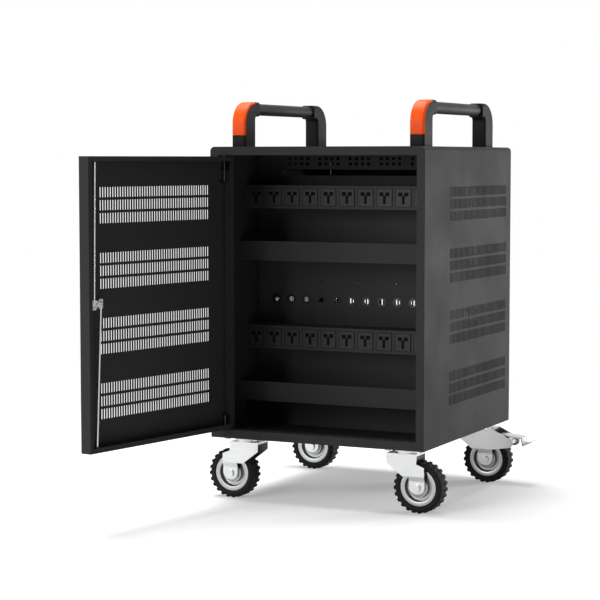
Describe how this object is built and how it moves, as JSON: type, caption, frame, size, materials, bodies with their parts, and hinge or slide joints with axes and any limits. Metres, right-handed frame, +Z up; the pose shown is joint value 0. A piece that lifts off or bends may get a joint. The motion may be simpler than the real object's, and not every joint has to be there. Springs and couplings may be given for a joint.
{
  "type": "charging cabinet",
  "caption": "Wheeled black steel charging cabinet with slotted doors, socket rails and adapter trays inside, orange-cornered grab handles and swivel casters",
  "frame": {"origin": "on the floor under the middle of the case", "axes": "+Z up, front faces -Y, +X to the right seen from the front"},
  "size_m": [0.7938, 1.1673, 1.044],
  "materials": {
    "case_paint": "fine-textured matt black powder coat",
    "rail_paint": "satin black powder coat",
    "socket_plastic": "matt dark grey moulded plastic",
    "black_plastic": "matt black moulded plastic",
    "grommet_plastic": "satin black moulded plastic",
    "grip_coating": "soft black coating over the tube",
    "orange_plastic": "satin orange moulded plastic",
    "bright_zinc": "bright zinc plating",
    "dark_steel": "black zinc plating",
    "lock_chrome": "polished chrome plating",
    "wheel_steel": "zinc-plated pressed steel",
    "tyre_rubber": "matt black rubber with a lugged tread"
  },
  "bodies": {
    "cabinet": {"base_pan": "case_paint", "left_side_panel": "case_paint", "right_side_panel": "case_paint", "top_cover": "case_paint", "divider_panel": "case_paint", "cable_grommets": "grommet_plastic", "divider_screws": "dark_steel", "lower_adapter_tray": "case_paint", "upper_adapter_tray": "case_paint", "lower_socket_rail": "rail_paint", "upper_socket_rail": "rail_paint", "lower_sockets": "socket_plastic", "upper_sockets": "socket_plastic", "tray_legs": "case_paint", "device_shelves": "case_paint", "device_dividers": "black_plastic", "power_inlet": "black_plastic", "left_handle_brackets": "black_plastic", "left_handle_cover": "orange_plastic", "left_handle_bar": "grip_coating", "right_handle_brackets": "black_plastic", "right_handle_cover": "orange_plastic", "right_handle_bar": "grip_coating", "caster_plates": "bright_zinc", "caster_bolts": "bright_zinc"},
    "power_rocker": {"power_switch": "black_plastic"},
    "front_door": {"front_door_panel": "case_paint", "front_door_hinge_brackets": "dark_steel", "front_door_lock_barrel": "lock_chrome", "front_door_rod_guides": "black_plastic"},
    "front_door_pin": {"front_door_sprung_pin": "dark_steel"},
    "front_door_cam": {"front_door_lock_cam": "bright_zinc"},
    "front_door_rod_up": {"front_door_upper_rod": "bright_zinc"},
    "front_door_rod_down": {"front_door_lower_rod": "bright_zinc"},
    "rear_door": {"rear_door_panel": "case_paint", "rear_door_hinge_brackets": "dark_steel", "rear_door_lock_barrel": "lock_chrome", "rear_door_rod_guides": "black_plastic"},
    "rear_door_pin": {"rear_door_sprung_pin": "dark_steel"},
    "rear_door_cam": {"rear_door_lock_cam": "bright_zinc"},
    "rear_door_rod_up": {"rear_door_upper_rod": "bright_zinc"},
    "rear_door_rod_down": {"rear_door_lower_rod": "bright_zinc"},
    "front_right_caster": {"front_right_caster_fork": "bright_zinc", "front_right_caster_axle": "bright_zinc"},
    "front_right_roller": {"front_right_caster_wheel": "wheel_steel", "front_right_caster_tyre": "tyre_rubber"},
    "front_left_caster": {"front_left_caster_fork": "bright_zinc", "front_left_caster_axle": "bright_zinc"},
    "front_left_roller": {"front_left_caster_wheel": "wheel_steel", "front_left_caster_tyre": "tyre_rubber"},
    "rear_right_caster": {"rear_right_caster_fork": "bright_zinc", "rear_right_caster_axle": "bright_zinc"},
    "rear_right_roller": {"rear_right_caster_wheel": "wheel_steel", "rear_right_caster_tyre": "tyre_rubber"},
    "rear_left_caster": {"rear_left_caster_fork": "bright_zinc", "rear_left_caster_axle": "bright_zinc"},
    "rear_left_roller": {"rear_left_caster_wheel": "wheel_steel", "rear_left_caster_tyre": "tyre_rubber"},
    "rear_right_brake": {"rear_right_caster_pedal": "bright_zinc"},
    "rear_left_brake": {"rear_left_caster_pedal": "bright_zinc"}
  },
  "joints": [
    {"name": "front_door_hinge", "type": "hinge", "parent": "cabinet", "child": "front_door", "pos_m": [-0.263, -0.312, 0.546], "axis": [0, 0, 1], "range_deg": [-19, 101]},
    {"name": "front_door_pin_slide", "type": "slide", "parent": "front_door", "child": "front_door_pin", "axis": [0, 0, -1], "range_m": [0, 0.012], "stiffness_N_per_m": 150, "springref_m": -0.01},
    {"name": "front_door_lock_turn", "type": "hinge", "parent": "front_door", "child": "front_door_cam", "pos_m": [-0.35145, -0.80111, 0.547], "axis": [-0.9816, 0.1908, 0], "range_deg": [0, 60]},
    {"name": "front_door_rod_up_slide", "type": "slide", "parent": "front_door", "child": "front_door_rod_up", "axis": [0.0031, 0.0161, 0.9999], "range_m": [0, 0.0135]},
    {"name": "front_door_rod_down_slide", "type": "slide", "parent": "front_door", "child": "front_door_rod_down", "axis": [-0.0097, -0.0497, -0.9987], "range_m": [0, 0.0135]},
    {"name": "rear_door_hinge", "type": "hinge", "parent": "cabinet", "child": "rear_door", "pos_m": [0.263, 0.312, 0.546], "axis": [0, 0, 1], "range_deg": [-110, 0]},
    {"name": "rear_door_pin_slide", "type": "slide", "parent": "rear_door", "child": "rear_door_pin", "axis": [0, 0, -1], "range_m": [0, 0.012], "stiffness_N_per_m": 150, "springref_m": -0.01},
    {"name": "rear_door_lock_turn", "type": "hinge", "parent": "rear_door", "child": "rear_door_cam", "pos_m": [-0.234, 0.3055, 0.547], "axis": [0, 1, 0], "range_deg": [0, 60]},
    {"name": "rear_door_rod_up_slide", "type": "slide", "parent": "rear_door", "child": "rear_door_rod_up", "axis": [0.0164, 0, 0.9999], "range_m": [0, 0.0135]},
    {"name": "rear_door_rod_down_slide", "type": "slide", "parent": "rear_door", "child": "rear_door_rod_down", "axis": [-0.0507, 0, -0.9987], "range_m": [0, 0.0135]},
    {"name": "front_right_swivel", "type": "hinge", "parent": "cabinet", "child": "front_right_caster", "pos_m": [0.229, -0.252, 0.152], "axis": [0, 0, 1], "continuous": true},
    {"name": "front_right_roll", "type": "hinge", "parent": "front_right_caster", "child": "front_right_roller", "pos_m": [0.265, -0.252, 0.066], "axis": [0, 1, 0], "continuous": true},
    {"name": "front_left_swivel", "type": "hinge", "parent": "cabinet", "child": "front_left_caster", "pos_m": [-0.229, -0.252, 0.152], "axis": [0, 0, 1], "continuous": true},
    {"name": "front_left_roll", "type": "hinge", "parent": "front_left_caster", "child": "front_left_roller", "pos_m": [-0.265, -0.252, 0.066], "axis": [0, 1, 0], "continuous": true},
    {"name": "rear_right_swivel", "type": "hinge", "parent": "cabinet", "child": "rear_right_caster", "pos_m": [0.229, 0.252, 0.152], "axis": [0, 0, 1], "continuous": true},
    {"name": "rear_right_roll", "type": "hinge", "parent": "rear_right_caster", "child": "rear_right_roller", "pos_m": [0.265, 0.252, 0.066], "axis": [0, 1, 0], "continuous": true},
    {"name": "rear_left_swivel", "type": "hinge", "parent": "cabinet", "child": "rear_left_caster", "pos_m": [-0.229, 0.252, 0.152], "axis": [0, 0, 1], "continuous": true},
    {"name": "rear_left_roll", "type": "hinge", "parent": "rear_left_caster", "child": "rear_left_roller", "pos_m": [-0.265, 0.252, 0.066], "axis": [0, 1, 0], "continuous": true},
    {"name": "rear_right_brake_press", "type": "hinge", "parent": "rear_right_caster", "child": "rear_right_brake", "pos_m": [0.332, 0.252, 0.116], "axis": [0, 1, 0], "range_deg": [0, 12]},
    {"name": "rear_left_brake_press", "type": "hinge", "parent": "rear_left_caster", "child": "rear_left_brake", "pos_m": [-0.332, 0.252, 0.116], "axis": [0, -1, 0], "range_deg": [0, 12]},
    {"name": "power_rocker_tilt", "type": "hinge", "parent": "cabinet", "child": "power_rocker", "pos_m": [-0.297, 0.26, 0.233], "axis": [0, 1, 0], "range_deg": [0, 9]}
  ],
  "couplings": [
    {"joint": "front_door_lock_turn", "follows": "front_door_rod_up_slide", "rad_per_m": 77.57},
    {"joint": "front_door_rod_down_slide", "follows": "front_door_rod_up_slide", "ratio": 1},
    {"joint": "rear_door_lock_turn", "follows": "rear_door_rod_up_slide", "rad_per_m": 77.57},
    {"joint": "rear_door_rod_down_slide", "follows": "rear_door_rod_up_slide", "ratio": 1}
  ]
}
